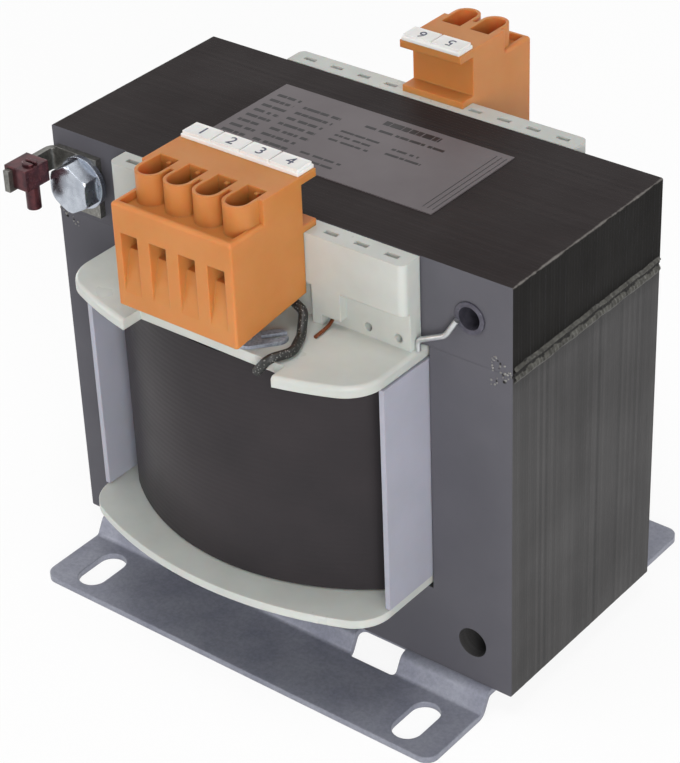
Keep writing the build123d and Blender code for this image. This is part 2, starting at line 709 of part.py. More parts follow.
CLAMP_X = PLATE_LEFT - CLAMP_CHEEK + (CLAMP_CHEEK + PLATE_T + CLAMP_BLOCK) / 2
CLAMP_FAR_Y = PLATE_Y + CLAMP_SET + CLAMP_Y
CLAMP_TOP_Z = ARM_TOP_Z + CLAMP_CAP
CLAMP_SCREW_PLACE = (PLATE_LEFT + PLATE_T + CLAMP_BLOCK / 2, -CLAMP_FAR_Y + CLAMP_Y / 2)
with BuildPart() as earth_clamp:
    with BuildSketch(Plane.XZ.offset(CLAMP_FAR_Y)):
        with Locations((CLAMP_X, CLAMP_TOP_Z - CLAMP_Z / 2)):
            Rectangle(CLAMP_CHEEK + PLATE_T + CLAMP_BLOCK, CLAMP_Z)
        with Locations((PLATE_LEFT + PLATE_T / 2, ARM_TOP_Z + CLAMP_GAP - CLAMP_Z / 2)):
            Rectangle(PLATE_T + 2 * CLAMP_GAP, CLAMP_Z, mode=Mode.SUBTRACT)
    extrude(amount=-CLAMP_Y)
    with BuildSketch(Plane.XY.offset(CLAMP_TOP_Z)):
        with Locations(CLAMP_SCREW_PLACE):
            Circle(CLAMP_SCREW_D / 2)
    extrude(amount=-CLAMP_Z, mode=Mode.SUBTRACT)
save(earth_clamp, "earth_clamp")

with BuildPart() as earth_clamp_screw:
    with BuildSketch(Plane.XY.offset(CLAMP_TOP_Z + CLAMP_HEAD_H)):
        with Locations(CLAMP_SCREW_PLACE):
            Circle(CLAMP_SCREW_D / 2)
    extrude(amount=-(CLAMP_HEAD_H + CLAMP_Z + CLAMP_SCREW_DROP))
    with BuildSketch(Plane.XY.offset(CLAMP_TOP_Z + CLAMP_HEAD_H)):
        with Locations(CLAMP_SCREW_PLACE):
            Rectangle(CLAMP_SCREW_D, CLAMP_HEAD_SLOT)
    extrude(amount=-CLAMP_HEAD_SLOT, mode=Mode.SUBTRACT)
save(earth_clamp_screw, "earth_clamp_screw")


# Screen eyelet in the upper right hole
with BuildPart() as screen_eyelet:
    with BuildSketch(Plane.XZ.offset(CORE_Y - EYELET_L)):
        with Locations((HOLE_X, HOLE_HIGH_Z)):
            Circle(HOLE_D / 2)
            Circle(HOLE_D / 2 - EYELET_WALL, mode=Mode.SUBTRACT)
    extrude(amount=EYELET_L + EYELET_RIM)
save(screen_eyelet, "screen_eyelet")


def bent_wire(name, diameter, points, radii):
    """Build a round wire or sleeve along straight runs joined by arcs."""
    with BuildPart() as wire:
        with BuildLine() as route:
            FilletPolyline(*points, radius=radii)
        with BuildSketch(Plane(origin=route.line @ 0, z_dir=route.line % 0)):
            Circle(diameter / 2)
        sweep(path=route.line)
    save(wire, name)


# Bare screen wire from the flange's corner to the eyelet's rim
WIRE_X = TOWER_X + WIRE_D / 2 + LAYER_GAP
WIRE_Y = CORE_Y + EYELET_RIM + WIRE_D / 2
bent_wire(
    "screen_wire",
    WIRE_D,
    [
        (WIRE_X, -WIRE_Y - WIRE_D, FLANGE_TOP_Z),
        (WIRE_X, -WIRE_Y - WIRE_D, FLANGE_TOP_Z + WIRE_RISE),
        (WIRE_X + WIRE_MID_X, -WIRE_Y - WIRE_D / 2, FLANGE_TOP_Z + WIRE_MID_Z),
        (HOLE_X - HOLE_D / 2 + EYELET_WALL, -WIRE_Y, HOLE_HIGH_Z - EYELET_WALL),
    ],
    WIRE_BENDS,
)

# Black sleeved lead from under the primary block over the flange and into its notch
LEAD_X = FRONT_X + FRONT_POLES * POLE_PITCH / 2
lead_points = [(LEAD_X + dx, -BLOCK_BACK_Y + dy, FLANGE_TOP_Z + dz) for dx, dy, dz in LEAD_ROUTE]
bent_wire("front_lead_sleeve", SLEEVE_D, lead_points, LEAD_BENDS)

# Forked solder tag on the pin of the fourth pole, lying on the flange beside the block
TAG_PLANE = Plane(
    origin=(FRONT_X + (FRONT_POLES - 1) * POLE_PITCH / 2, -CAGE_Y, FLANGE_TOP_Z + LAYER_GAP),
    x_dir=Vector(1, 0, 0).rotate(Axis.Z, TAG_TURN),
)
with BuildPart() as front_solder_tag:
    with BuildSketch(TAG_PLANE):
        with Locations(((TAG_L - TAG_W) / 2, 0)):
            SlotOverall(TAG_L, TAG_W)
        with Locations((TAG_L - TAG_W / 2 - TAG_SLOT_L / 2, 0)):
            Rectangle(TAG_SLOT_L, TAG_SLOT_W, mode=Mode.SUBTRACT)
        Rectangle(PIN_W + 2 * CAGE_GAP, PIN_W + 2 * CAGE_GAP, rotation=-TAG_TURN, mode=Mode.SUBTRACT)
    extrude(amount=TAG_T)
save(front_solder_tag, "front_solder_tag")
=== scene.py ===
"""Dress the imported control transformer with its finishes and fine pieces.

Lengths are in metres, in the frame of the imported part: X runs along the core, -Y faces
the four-pole block, and +Z points up from the soles of the feet.
"""

import logging
import math
import random
from dataclasses import dataclass, field
from enum import Enum
from typing import Callable, Iterable, Sequence

import bmesh
import bpy
from mathutils import Matrix, Vector

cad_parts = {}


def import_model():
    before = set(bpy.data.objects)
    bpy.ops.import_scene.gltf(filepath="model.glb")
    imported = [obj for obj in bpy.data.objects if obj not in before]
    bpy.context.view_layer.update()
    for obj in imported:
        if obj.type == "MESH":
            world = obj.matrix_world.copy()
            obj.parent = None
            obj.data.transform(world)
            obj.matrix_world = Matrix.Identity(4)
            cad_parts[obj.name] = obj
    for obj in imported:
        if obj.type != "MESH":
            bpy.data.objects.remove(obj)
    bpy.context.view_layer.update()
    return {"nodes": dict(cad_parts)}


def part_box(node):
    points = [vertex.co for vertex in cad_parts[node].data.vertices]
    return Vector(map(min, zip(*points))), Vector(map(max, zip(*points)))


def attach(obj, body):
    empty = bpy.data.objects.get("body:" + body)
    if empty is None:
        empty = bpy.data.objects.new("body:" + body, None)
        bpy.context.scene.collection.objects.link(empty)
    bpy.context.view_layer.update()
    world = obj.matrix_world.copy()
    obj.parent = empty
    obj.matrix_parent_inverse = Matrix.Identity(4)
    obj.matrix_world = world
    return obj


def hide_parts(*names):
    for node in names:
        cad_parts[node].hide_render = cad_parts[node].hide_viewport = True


LOG = logging.getLogger("transformer")
MM = 0.001
BODY = "root"

# Socket places of the Mix node when it mixes colours
MIX_FACTOR, MIX_A, MIX_B, MIX_RESULT = 0, 6, 7, 2
# Most values of a noise texture lie between the first two, and nearly all between the others
NOISE_LOW, NOISE_HIGH = 0.35, 0.65
NOISE_FLOOR, NOISE_CEILING = 0.3, 0.7
# A wave texture runs through this many radians in a length of 1 at a scale of 1
BAND_RATE = 20
# How near an edge has to be to a level to count as lying on it
NEAR = 0.01 * MM
# How much of a face's normal lies along the axis that it faces
FACING = 0.7
# Angle in radians past which an edge is a corner to be rounded
SHARP = 1.0

Tree = bpy.types.NodeTree
Node = bpy.types.Node
Socket = bpy.types.NodeSocket
Piece = bpy.types.Object
Span = tuple[float, float]
Point = tuple[float, float, float]


def linear(code: str) -> tuple[float, float, float, float]:
    """Turn an sRGB hex value into linear light.

    Args:
        code: Six hex digits with a leading hash.

    Returns:
        Red, green, blue and alpha from 0 to 1.
    """
    channels = [int(code[i : i + 2], 16) / 255 for i in (1, 3, 5)]
    lit = [c / 12.92 if c <= 0.04045 else ((c + 0.055) / 1.055) ** 2.4 for c in channels]
    return (lit[0], lit[1], lit[2], 1.0)


def add_node(tree: Tree, kind: str, settings: dict | None = None, links: dict | None = None) -> Node:
    """Add one shader node with its settings and links.

    Args:
        tree: The material's or world's node tree.
        kind: The node's Blender type name after ShaderNode.
        settings: Values by input name or place, or by property name.
        links: Output sockets, or nodes for their first one, by the input name or place that they feed.

    Returns:
        The new node.
    """
    node = tree.nodes.new("ShaderNode" + kind)
    for key, value in (settings or {}).items():
        if isinstance(key, int) or key in node.inputs:
            node.inputs[key].default_value = value
        else:
            setattr(node, key, value)
    for key, source in (links or {}).items():
        socket = source.outputs[0] if isinstance(source, Node) else source
        tree.links.new(socket, node.inputs[key])
    return node


def lay_over(tree: Tree, base: Socket, tone: str, share: Node) -> Socket:
    """Return a colour with another tone laid over a share of it."""
    mix = add_node(tree, "Mix", {"data_type": "RGBA", MIX_B: linear(tone)}, {MIX_FACTOR: share, MIX_A: base})
    return mix.outputs[MIX_RESULT]


def lighten(tree: Tree, base: Socket, value: Node) -> Socket:
    """Return a colour multiplied by a value about 1."""
    return add_node(tree, "HueSaturation", None, {"Value": value, "Color": base}).outputs["Color"]


@dataclass(frozen=True)
class Finish:
    """A surface finish: what the material is and how its surface was made.

    Attributes:
        name: The material's name.
        tone: Main colour.
        shade: Colour of the broad patches.
        patch_mm: Size of the patches.
        grain_mm: Spacing of the fine grain.
        grain_depth_mm: Height of the fine grain.
        roughness: Middle roughness.
        roughness_spread: How far the patches move the roughness.
        metallic: 1 for uncoated metal, 0 for varnish, paint and plastic.
        ior: Index of refraction.
        specular: Strength of the gloss on varnish and plastic.
        edge_mm: Radius by which sharp edges are shaded round.
    """

    name: str
    tone: str
    shade: str
    patch_mm: float = 14.0
    grain_mm: float = 0.8
    grain_depth_mm: float = 0.02
    roughness: float = 0.45
    roughness_spread: float = 0.06
    metallic: float = 0.0
    ior: float = 1.5
    specular: float = 0.5
    edge_mm: float = 0.25

    def patches(self, tree: Tree, place: Socket) -> Socket:
        """Return the broad patches as a value about 0.5."""
        noise = add_node(tree, "TexNoise",
                         {"Scale": 1 / (self.patch_mm * MM), "Detail": 4.0, "Roughness": 0.55},
                         {"Vector": place})
        return noise.outputs["Fac"]

    def colour(self, tree: Tree, place: Socket, patches: Socket) -> Socket:
        """Return the base colour, here the tone with patches of the shade."""
        ramp = add_node(tree, "MapRange", {"From Min": NOISE_LOW, "From Max": NOISE_HIGH}, {"Value": patches})
        mix = add_node(tree, "Mix",
                       {"data_type": "RGBA", MIX_A: linear(self.tone), MIX_B: linear(self.shade)},
                       {MIX_FACTOR: ramp})
        return mix.outputs[MIX_RESULT]

    def height(self, tree: Tree, place: Socket) -> Socket:
        """Return the surface height from 0 to 1, here the fine grain."""
        noise = add_node(tree, "TexNoise", {"Scale": 1 / (self.grain_mm * MM), "Detail": 3.0},
                         {"Vector": place})
        return noise.outputs["Fac"]

    def dress(self, tree: Tree, shader: Node) -> None:
        """Set what only this kind of finish has on the shader; plain finishes have nothing."""

    def build(self) -> bpy.types.Material:
        """Build the material once and return it.

        Returns:
            The Blender material of this finish.
        """
        known = bpy.data.materials.get(self.name)
        if known:
            return known
        material = bpy.data.materials.new(self.name)
        material.use_nodes = True
        material.diffuse_color = linear(self.tone)
        tree = material.node_tree
        tree.nodes.clear()
        place = add_node(tree, "TexCoord").outputs["Object"]
        patches = self.patches(tree, place)
        rough = add_node(tree, "MapRange",
                         {"From Min": NOISE_FLOOR, "From Max": NOISE_CEILING,
                          "To Min": self.roughness - self.roughness_spread,
                          "To Max": self.roughness + self.roughness_spread}, {"Value": patches})
        edge = add_node(tree, "Bevel", {"samples": 4, "Radius": self.edge_mm * MM})
        bump = add_node(tree, "Bump", {"Strength": 1.0, "Distance": self.grain_depth_mm * MM},
                        {"Height": self.height(tree, place), "Normal": edge})
        shader = add_node(tree, "BsdfPrincipled",
                          {"Metallic": self.metallic, "IOR": self.ior, "Specular IOR Level": self.specular},
                          {"Base Color": self.colour(tree, place, patches), "Roughness": rough,
                           "Normal": bump})
        self.dress(tree, shader)
        add_node(tree, "OutputMaterial", None, {"Surface": shader})
        return material


@dataclass(frozen=True)
class CutLaminations(Finish):
    """Varnished edges of punched silicon steel sheets, stacked along Y.

    Attributes:
        sheet_mm: Spacing of the sheets; two real ones are drawn as one, so that they show.
        streak: How far single sheets differ in lightness.
        joint_mm: Level of the welded joint.
        weld_shade_mm: How far from the joint the painted shade beside the weld reaches.
        weld_shade: How much the painted shade darkens the edges at the joint.
    """

    sheet_mm: float = 1.0
    streak: float = 0.16
    joint_mm: float = 85.9
    weld_shade_mm: float = 5.0
    weld_shade: float = 0.35

    def sheets(self, tree: Tree, split: Node) -> Socket:
        """Return a random value for each sheet."""
        count = add_node(tree, "Math", {"operation": "MULTIPLY", 1: 1 / (self.sheet_mm * MM)},
                         {0: split.outputs["Y"]})
        whole = add_node(tree, "Math", {"operation": "FLOOR"}, {0: count})
        chance = add_node(tree, "TexWhiteNoise", {"noise_dimensions": "1D"}, {"W": whole})
        return chance.outputs["Value"]

    def shade_by_weld(self, tree: Tree, split: Node) -> Socket:
        """Return the brightness left by the painted shade beside the weld, lowest at the joint."""
        # Painted shade: the cut edges grow darker towards the weld's level, standing in for the shade that
        # falls beside the bead.
        away = add_node(tree, "Math", {"operation": "SUBTRACT", 1: self.joint_mm * MM},
                        {0: split.outputs["Z"]})
        far = add_node(tree, "Math", {"operation": "ABSOLUTE"}, {0: away})
        weld_shade_level = add_node(tree, "MapRange", {"From Max": self.weld_shade_mm * MM, "To Min": 1 - self.weld_shade},
                        {"Value": far})
        return weld_shade_level.outputs["Result"]

    def colour(self, tree: Tree, place: Socket, patches: Socket) -> Socket:
        """Return the patched colour, lighter or darker sheet by sheet and darkened by painted shade near the
        weld.
        """
        base = super().colour(tree, place, patches)
        split = add_node(tree, "SeparateXYZ", None, {"Vector": place})
        value = add_node(tree, "MapRange", {"To Min": 1 - self.streak, "To Max": 1 + self.streak},
                         {"Value": self.sheets(tree, split)})
        share = add_node(tree, "Math", {"operation": "MULTIPLY"}, {0: value, 1: self.shade_by_weld(tree, split)})
        return lighten(tree, base, share)


@dataclass(frozen=True)
class HighlightedBar(CutLaminations):
    """Cut edges of the closing bar, with a painted highlight along one long edge.

    Attributes:
        edge_x_mm: Place in X of the edge with the painted highlight.
        edge_z_mm: Place in Z of the edge with the painted highlight.
        highlight_mm: Widest reach of the painted highlight line from the edge.
        highlight_least: Narrowest reach, as a share of the widest.
        highlight_peak: Value of the noise at which it is widest.
        highlight_patch_mm: Length over which the reach changes.
        highlight_fade: Where the line starts and ends to fade, as shares of its reach.
        highlight_tone: Colour of the painted highlight.
        highlight_share: How much of the painted highlight colour is laid over the varnish.
    """

    edge_x_mm: float = 60.0
    edge_z_mm: float = 105.9
    highlight_mm: float = 0.5
    highlight_least: float = 0.4
    highlight_peak: float = 0.75
    highlight_patch_mm: float = 5.0
    highlight_fade: Span = (0.6, 1.3)
    highlight_tone: str = "#84807C"
    highlight_share: float = 0.75

    def colour(self, tree: Tree, place: Socket, patches: Socket) -> Socket:
        """Return the cut edges' colour with the painted highlight line on top."""
        base = super().colour(tree, place, patches)
        split = add_node(tree, "SeparateXYZ", None, {"Vector": place})
        # Painted highlight: a light line laid over the varnish along the top right edge of the closing bar.
        level = add_node(tree, "Math", {"operation": "ADD"}, {0: split.outputs["X"], 1: split.outputs["Z"]})
        edge = (self.edge_x_mm + self.edge_z_mm) * MM
        away = add_node(tree, "Math", {"operation": "SUBTRACT", 0: edge}, {1: level})
        noise = add_node(tree, "TexNoise",
                         {"Scale": 1 / (self.highlight_patch_mm * MM), "Detail": 5.0, "Roughness": 0.7},
                         {"Vector": place})
        reach = add_node(tree, "MapRange",
                         {"From Min": NOISE_LOW, "From Max": self.highlight_peak,
                          "To Min": self.highlight_least * self.highlight_mm * MM, "To Max": self.highlight_mm * MM},
                         {"Value": noise.outputs["Fac"]})
        near = add_node(tree, "Math", {"operation": "DIVIDE"}, {0: away, 1: reach})
        highlight_mask = add_node(tree, "MapRange",
                        {"From Min": self.highlight_fade[0], "From Max": self.highlight_fade[1], "To Min": self.highlight_share,
                         "To Max": 0.0}, {"Value": near})
        return lay_over(tree, base, self.highlight_tone, highlight_mask)


@dataclass(frozen=True)
class BraidedSleeve(Finish):
    """Black braided glass fibre, with painted highlights as pale dots on the braid.

    Attributes:
        strand_mm: Spacing of the strands.
        glint_tone: Colour of a painted highlight dot.
        glint_fade: Where a painted highlight dot starts and ends to fade, as shares of the spacing.
        glint_share: How much of a painted highlight dot shows.
    """

    strand_mm: float = 0.55
    glint_tone: str = "#9A9A96"
    glint_fade: Span = (0.18, 0.34)
    glint_share: float = 0.5

    def colour(self, tree: Tree, place: Socket, patches: Socket) -> Socket:
        """Return black with painted highlight dots."""
        base = super().colour(tree, place, patches)
        # Painted highlights: a pale dot laid over the black in each cell of the braid.
        cells = add_node(tree, "TexVoronoi", {"Scale": 1 / (self.strand_mm * MM)}, {"Vector": place})
        glint_mask = add_node(tree, "MapRange",
                       {"From Min": self.glint_fade[0], "From Max": self.glint_fade[1],
                        "To Min": self.glint_share, "To Max": 0.0}, {"Value": cells.outputs["Distance"]})
        return lay_over(tree, base, self.glint_tone, glint_mask)


@dataclass(frozen=True)
class SpeckledPlate(Finish):
    """Zinc-plated sheet whose crystals and dust show as fine light and dark specks.

    Attributes:
        speck_mm: Size of the specks.
        speck: How far they differ in lightness.
    """

    speck_mm: float = 0.6
    speck: float = 0.22

    def colour(self, tree: Tree, place: Socket, patches: Socket) -> Socket:
        """Return the plate's colour, speck by speck."""
        base = super().colour(tree, place, patches)
        noise = add_node(tree, "TexNoise",
                         {"Scale": 1 / (self.speck_mm * MM), "Detail": 2.0, "Roughness": 0.7},
                         {"Vector": place})
        value = add_node(tree, "MapRange",
                         {"From Min": NOISE_LOW, "From Max": NOISE_HIGH, "To Min": 1 - self.speck,
                          "To Max": 1 + self.speck}, {"Value": noise.outputs["Fac"]})
        return lighten(tree, base, value)


@dataclass(frozen=True)
class WoundWrap(Finish):
    """Varnished polyester film pulled tight over the outer layer of wire.

    Attributes:
        turn_mm: Spacing of the turns of wire that print through the film.
        turn_depth_mm: How far they print through.
    """

    turn_mm: float = 1.3
    turn_depth_mm: float = 0.015

    def height(self, tree: Tree, place: Socket) -> Socket:
        """Return the turns, as bands along Z, on top of the fine grain."""
        grain = super().height(tree, place)
        bands = add_node(tree, "TexWave",
                         {"wave_type": "BANDS", "bands_direction": "Z",
                          "Scale": 1 / (BAND_RATE * self.turn_mm * MM) * 2 * math.pi, "Distortion": 1.5,
                          "Detail": 2.0, "Detail Scale": 0.4}, {"Vector": place})
        share = self.turn_depth_mm / self.grain_depth_mm
        scaled = add_node(tree, "Math", {"operation": "MULTIPLY_ADD", 1: share},
                          {0: bands.outputs["Fac"], 2: grain})
        return scaled.outputs["Value"]


@dataclass(frozen=True)
class MouldedPlastic(Finish):
    """A plastic that light enters a little way, so that thin walls and edges glow.

    Attributes:
        depth_mm: How far light travels inside.
        inner: Weight of that light.
    """

    depth_mm: float = 1.2
    inner: float = 0.25

    def dress(self, tree: Tree, shader: Node) -> None:
        """Set the light that travels inside the plastic."""
        shader.inputs["Subsurface Weight"].default_value = self.inner
        shader.inputs["Subsurface Scale"].default_value = self.depth_mm * MM


class Finishes(Enum):
    """Every finish of the transformer, by its place on the object."""

    # Rolled silicon steel under baked varnish is smooth, cool grey and half glossy
    SHEET_FACE = Finish("varnished_steel_face", "#5C5B61", "#55545A", 30.0, 1.2, 0.012, 0.42, 0.05,
                        specular=0.12, edge_mm=0.3)
    # Punched edges hold more varnish, so they are darker and browner than the faces
    BAR_TOP = HighlightedBar("varnished_bar_top", "#322D2D", "#2D2828", 24.0, 0.9, 0.012, 0.45, 0.06,
                        specular=0.04, edge_mm=0.1, streak=0.07)
    # The bar's end is the darkest face: its tone, darker than the bar top's, is painted shade above the weld
    BAR_END = HighlightedBar("varnished_bar_end_painted_shade", "#232221", "#1F1E1D", 14.0, 0.9, 0.015, 0.5, 0.06, specular=0.02,
                        edge_mm=0.1, streak=0.08)
    # The E stack's cut edges are plain grey, with thin upright streaks
    SHEET_EDGE = CutLaminations("varnished_steel_edges", "#474646", "#3F3E3E", 26.0, 0.9, 0.02, 0.42, 0.06,
                                specular=0.08, edge_mm=0.1)
    # Electric arc weld under varnish: rippled ridges, brighter than the sheets
    WELD = Finish("varnished_weld_steel", "#55544F", "#3B3A37", 1.2, 0.4, 0.05, 0.45, 0.1, 0.3, specular=0.2)
    # Drops of weld that the varnish has run off: bright and smooth
    SPATTER = Finish("bright_weld_steel", "#8E8D8A", "#7A7976", 1.0, 0.4, 0.01, 0.3, 0.06, 0.5)
    # Dark weld finish: painted shade in the weld's crease, its pits and along its rim, and the colour of the
    # dark slag drops of spatter
    SLAG = Finish("weld_slag_and_painted_shade", "#232220", "#191817", 1.0, 0.35, 0.05, 0.6, 0.08, specular=0.2)
    # Folded zinc-plated sheet, passivated blue-grey, slightly blotched
    FOOT = SpeckledPlate("plated_sheet_steel", "#8E909B", "#7E808D", 11.0, 0.7, 0.01, 0.4, 0.07, 0.3,
                         specular=0.35, edge_mm=0.45, speck_mm=0.9, speck=0.09)
    # Glass-filled nylon, moulded pale grey-green, satin
    BOBBIN = MouldedPlastic("moulded_nylon", "#C4C7C2", "#B9BCB7", 18.0, 0.6, 0.008, 0.32, 0.06, ior=1.53,
                            specular=0.4, edge_mm=0.4, depth_mm=1.5, inner=0.2)
    # Pressboard covered with film, lavender grey and smooth
    LINER = MouldedPlastic("film_faced_board", "#A9A9B6", "#A0A1AC", 25.0, 0.8, 0.008, 0.4, 0.04,
                           specular=0.35, depth_mm=0.8, inner=0.15)
    # Dark polyester film over the coil, varnished, half glossy
    WRAP = WoundWrap("varnished_polyester_film", "#363234", "#312E30", 20.0, 0.9, 0.01, 0.4, 0.04,
                     specular=0.1)
    # Orange polyamide, moulded, satin, a little translucent
    ORANGE = MouldedPlastic("orange_polyamide", "#C48246", "#BD7A3E", 16.0, 0.5, 0.008, 0.45, 0.05, ior=1.53,
                            specular=0.3, edge_mm=0.4, depth_mm=3.5, inner=0.6)
    # White polyamide marker strip, matt
    MARKER = MouldedPlastic("white_polyamide", "#EDEBE8", "#E3E1DE", 8.0, 0.4, 0.006, 0.5, 0.04, ior=1.53,
                            depth_mm=0.6, inner=0.1)
    # Foil label, grey ink on aluminium, satin
    LABEL = Finish("printed_foil", "#6F696B", "#686264", 20.0, 0.5, 0.004, 0.38, 0.04, 0.05, specular=0.12,
                   edge_mm=0.05)
    # Black printing ink, a little glossier than the foil
    INK = Finish("printing_ink", "#1E1B1D", "#242123", 6.0, 0.5, 0.002, 0.35, 0.03, specular=0.3,
                 edge_mm=0.02)
    # Blue-black ink of the pole numbers on the white strip
    NUMBER_INK = Finish("marker_ink", "#3A3D52", "#44475A", 6.0, 0.5, 0.002, 0.4, 0.03, edge_mm=0.02)
    # Bright zinc plating on steel fasteners
    ZINC = Finish("bright_zinc", "#C4CAD3", "#AEB4BE", 3.0, 0.35, 0.01, 0.26, 0.08, 1.0)
    # Dull zinc on folded sheet: grey with a warm cast, smeared by handling
    DULL_ZINC = SpeckledPlate("dull_zinc", "#85847F", "#6B6A66", 3.5, 0.5, 0.012, 0.36, 0.1, 0.8, edge_mm=0.2)
    # Zinc dulled under varnish, on the eyelet that is pressed flush into the sheets
    EYELET = Finish("varnished_zinc", "#5F5D68", "#4C4A54", 1.5, 0.4, 0.01, 0.34, 0.08, 0.5, edge_mm=0.15)
    # Tinned copper, soft silver
    TIN = Finish("tinned_copper", "#D2D4D5", "#BEC0C1", 2.0, 0.3, 0.008, 0.34, 0.06, 0.9, edge_mm=0.05)
    # Tin-dipped tag, satin blue-grey: its tone is the flange's shade where the tag lies, painted shade
    TAG = SpeckledPlate("tag_toned_as_painted_shade", "#A4AAB6", "#8A909C", 2.0, 0.4, 0.01, 0.5, 0.06, 0.3, edge_mm=0.1)
    # Red-brown lacquered steel, glossy
    MAROON = Finish("lacquered_steel", "#5E3236", "#3C2127", 2.2, 0.4, 0.02, 0.22, 0.08, 0.6, edge_mm=0.4)
    # Black glass-fibre sleeve, silicone-filled, with painted highlight dots on the braid
    SLEEVE = BraidedSleeve("black_sleeve", "#121211", "#1A1A18", 1.5, 0.4, 0.05, 0.45, 0.05, edge_mm=0.05)
    # Enamelled copper wire, brown-red and glossy
    COPPER = Finish("enamelled_copper", "#8A4A2C", "#733C22", 3.0, 0.6, 0.02, 0.28, 0.05, 0.6, edge_mm=0.05)
    # Clear polyester film, yellowed
    FILM = Finish("polyester_film", "#C9C19A", "#BDB48C", 12.0, 0.6, 0.01, 0.25, 0.04, edge_mm=0.05)

    def material(self) -> bpy.types.Material:
        """Return the finish's material, built on first use."""
        return self.value.build()


def take(piece: Piece) -> None:
    """Make one object active and the only one selected."""
    bpy.ops.object.select_all(action="DESELECT")
    piece.select_set(True)
    bpy.context.view_layer.objects.active = piece


def start(name: str) -> Piece:
    """Name the primitive that was just added and seat its place in its mesh.

    Args:
        name: The new object's name.

    Returns:
        The object, at the origin, unturned and unscaled.
    """
    piece = bpy.context.active_object
    piece.name = piece.data.name = name
    bpy.ops.object.transform_apply(location=True, rotation=True, scale=True)
    return piece


def box(name: str, low: Sequence[float], high: Sequence[float]) -> Piece:
    """Add a cube between two corners.

    Args:
        name: The new object's name.
        low: Lowest corner in metres.
        high: Highest corner in metres.

    Returns:
        The box.
    """
    middle = [(a + b) / 2 for a, b in zip(low, high)]
    size = [b - a for a, b in zip(low, high)]
    bpy.ops.mesh.primitive_cube_add(size=1, location=middle, scale=size)
    return start(name)


def rod(name: str, middle: Sequence[float], axis: Sequence[float], radius: float, length: float,
        sides: int = 32) -> Piece:
    """Add a cylinder about a point.

    Args:
        name: The new object's name.
        middle: Middle of the cylinder in metres.
        axis: Direction of its axis.
        radius: Radius in metres.
        length: Length in metres.
        sides: Number of faces round it.

    Returns:
        The cylinder.
    """
    turn = Vector(axis).to_track_quat("Z", "Y").to_euler()
    bpy.ops.mesh.primitive_cylinder_add(vertices=sides, radius=radius, depth=length, location=middle,
                                        rotation=turn)
    return start(name)


def edit(piece: Piece, mode: str, test: Callable[[object], bool], work: Callable[[], object]) -> None:
    """Select parts of a mesh in edit mode and run one operator on them.

    Args:
        piece: The object to edit.
        mode: VERT, EDGE or FACE.
        test: Says whether a part is selected.
        work: Runs the operator.
    """
    take(piece)
    bpy.ops.object.mode_set(mode="EDIT")
    bpy.ops.mesh.select_mode(type=mode)
    bpy.ops.mesh.select_all(action="DESELECT")
    mesh = bmesh.from_edit_mesh(piece.data)
    parts = {"VERT": mesh.verts, "EDGE": mesh.edges, "FACE": mesh.faces}[mode]
    for part in parts:
        if test(part):
            part.select_set(True)
    mesh.select_flush_mode()
    bmesh.update_edit_mesh(piece.data)
    work()
    bpy.ops.object.mode_set(mode="OBJECT")


def middle_of(part: object) -> Vector:
    """Return the middle of an edge or a face."""
    points = [v.co for v in part.verts]
    return sum(points, Vector()) / len(points)


def bevel_edges(piece: Piece, test: Callable[[object], bool], width: float, steps: int = 2) -> None:
    """Round the edges of a mesh that pass a test.

    Args:
        piece: The object to edit.
        test: Says whether an edge is rounded.
        width: Width of the rounding in metres.
        steps: Faces across it.
    """
    edit(piece, "EDGE", test, lambda: bpy.ops.mesh.bevel(offset=width, segments=steps, affect="EDGES"))


def cut(piece: Piece, tools: Iterable[Piece], operation: str = "DIFFERENCE") -> None:
    """Cut other objects out of a piece and remove them.

    Args:
        piece: The object that is cut.
        tools: The objects that cut it.
        operation: DIFFERENCE, or INTERSECT to keep only what lies in them.
    """
    for tool in tools:
        take(piece)
        change = piece.modifiers.new("cut", "BOOLEAN")
        change.operation, change.solver, change.object = operation, "EXACT", tool
        bpy.ops.object.modifier_apply(modifier=change.name)
        bpy.data.objects.remove(tool)


def join(name: str, pieces: Sequence[Piece]) -> Piece:
    """Join pieces into the first one.

    Args:
        name: Name of the result.
        pieces: The objects to join.

    Returns:
        The joined object.
    """
    bpy.ops.object.select_all(action="DESELECT")
    for piece in pieces:
        piece.select_set(True)
    bpy.context.view_layer.objects.active = pieces[0]
    bpy.ops.object.join()
    pieces[0].name = pieces[0].data.name = name
    return pieces[0]


def paint(piece: Piece, finish: Finishes) -> None:
    """Give a piece one finish all over."""
    piece.data.materials.clear()
    piece.data.materials.append(finish.material())


def smooth(piece: Piece, degrees: float = 35.0) -> None:
    """Shade a piece smooth where its faces meet at less than an angle."""
    take(piece)
    bpy.ops.object.shade_smooth_by_angle(angle=math.radians(degrees))


def seat(piece: Piece, slot: str, *nodes: str) -> Piece:
    """Ride a finished piece on the body and hide what it stands for.

    Args:
        piece: The finished object.
        slot: The record's material slot; not used.
        *nodes: CAD nodes that it replaces.

    Returns:
        The piece.
    """
    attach(piece, BODY)
    if nodes:
        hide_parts(*nodes)
    LOG.info("%s: %d faces", piece.name, len(piece.data.polygons))
    return piece


